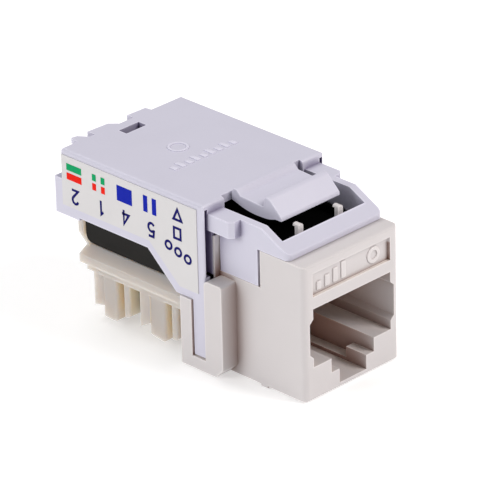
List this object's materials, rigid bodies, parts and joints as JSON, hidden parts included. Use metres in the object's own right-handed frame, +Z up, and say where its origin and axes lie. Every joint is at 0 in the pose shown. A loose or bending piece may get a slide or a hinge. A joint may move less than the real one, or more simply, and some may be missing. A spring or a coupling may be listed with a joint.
{
  "type": "keystone jack",
  "caption": "RJ45 keystone network jack: front socket housing, rear cover with a flexible release tab, side wiring labels and punch-down terminal towers underneath.",
  "frame": {"origin": "bottom centre of the bounding box, on the surface that the jack lies on", "axes": "+Y from the socket face to the rear, +Z up towards the release tab, +X across the socket"},
  "size_m": [0.019, 0.036, 0.021],
  "materials": {
    "housing_plastic": "satin moulded, warm white",
    "cover_plastic": "satin moulded, pale lavender",
    "block_plastic": "slightly translucent, cream",
    "insulator_plastic": "matte black",
    "label_film": "printed white film",
    "board_laminate": "black solder mask",
    "tin_plate": "tin plated",
    "gold_plate": "gold plated"
  },
  "bodies": {
    "jack_body": {"front_housing": "housing_plastic", "rear_cover": "cover_plastic", "wiring_label_left": "label_film", "wiring_label_right": "label_film", "idc_block": "block_plastic", "insulator_tray": "insulator_plastic", "circuit_board": "board_laminate", "contact_carrier": "insulator_plastic", "idc_terminal_1": "tin_plate", "idc_terminal_2": "tin_plate", "idc_terminal_3": "tin_plate", "idc_terminal_4": "tin_plate", "idc_terminal_5": "tin_plate", "idc_terminal_6": "tin_plate", "idc_terminal_7": "tin_plate", "idc_terminal_8": "tin_plate"},
    "release_tab": {"release_tab": "cover_plastic"},
    "contact_1": {"plug_contact_1": "gold_plate"},
    "contact_2": {"plug_contact_2": "gold_plate"},
    "contact_3": {"plug_contact_3": "gold_plate"},
    "contact_4": {"plug_contact_4": "gold_plate"},
    "contact_5": {"plug_contact_5": "gold_plate"},
    "contact_6": {"plug_contact_6": "gold_plate"},
    "contact_7": {"plug_contact_7": "gold_plate"},
    "contact_8": {"plug_contact_8": "gold_plate"}
  },
  "joints": [
    {"name": "release_tab_flex", "type": "hinge", "parent": "jack_body", "child": "release_tab", "pos_m": [0, -0.00465, 0.01945], "axis": [1, 0, 0], "range_deg": [0, 12], "stiffness_Nm_per_rad": 0.05},
    {"name": "contact_1_flex", "type": "hinge", "parent": "jack_body", "child": "contact_1", "pos_m": [-0.00357, -0.01425, 0.0123], "axis": [1, 0, 0], "range_deg": [0, 10], "stiffness_Nm_per_rad": 0.01},
    {"name": "contact_2_flex", "type": "hinge", "parent": "jack_body", "child": "contact_2", "pos_m": [-0.00255, -0.01425, 0.0123], "axis": [1, 0, 0], "range_deg": [0, 10], "stiffness_Nm_per_rad": 0.01},
    {"name": "contact_3_flex", "type": "hinge", "parent": "jack_body", "child": "contact_3", "pos_m": [-0.00153, -0.01425, 0.0123], "axis": [1, 0, 0], "range_deg": [0, 10], "stiffness_Nm_per_rad": 0.01},
    {"name": "contact_4_flex", "type": "hinge", "parent": "jack_body", "child": "contact_4", "pos_m": [-0.00051, -0.01425, 0.0123], "axis": [1, 0, 0], "range_deg": [0, 10], "stiffness_Nm_per_rad": 0.01},
    {"name": "contact_5_flex", "type": "hinge", "parent": "jack_body", "child": "contact_5", "pos_m": [0.00051, -0.01425, 0.0123], "axis": [1, 0, 0], "range_deg": [0, 10], "stiffness_Nm_per_rad": 0.01},
    {"name": "contact_6_flex", "type": "hinge", "parent": "jack_body", "child": "contact_6", "pos_m": [0.00153, -0.01425, 0.0123], "axis": [1, 0, 0], "range_deg": [0, 10], "stiffness_Nm_per_rad": 0.01},
    {"name": "contact_7_flex", "type": "hinge", "parent": "jack_body", "child": "contact_7", "pos_m": [0.00255, -0.01425, 0.0123], "axis": [1, 0, 0], "range_deg": [0, 10], "stiffness_Nm_per_rad": 0.01},
    {"name": "contact_8_flex", "type": "hinge", "parent": "jack_body", "child": "contact_8", "pos_m": [0.00357, -0.01425, 0.0123], "axis": [1, 0, 0], "range_deg": [0, 10], "stiffness_Nm_per_rad": 0.01}
  ],
  "couplings": [
    {"joint": "contact_2_flex", "follows": "contact_1_flex", "ratio": 1},
    {"joint": "contact_3_flex", "follows": "contact_1_flex", "ratio": 1},
    {"joint": "contact_4_flex", "follows": "contact_1_flex", "ratio": 1},
    {"joint": "contact_5_flex", "follows": "contact_1_flex", "ratio": 1},
    {"joint": "contact_6_flex", "follows": "contact_1_flex", "ratio": 1},
    {"joint": "contact_7_flex", "follows": "contact_1_flex", "ratio": 1},
    {"joint": "contact_8_flex", "follows": "contact_1_flex", "ratio": 1}
  ]
}
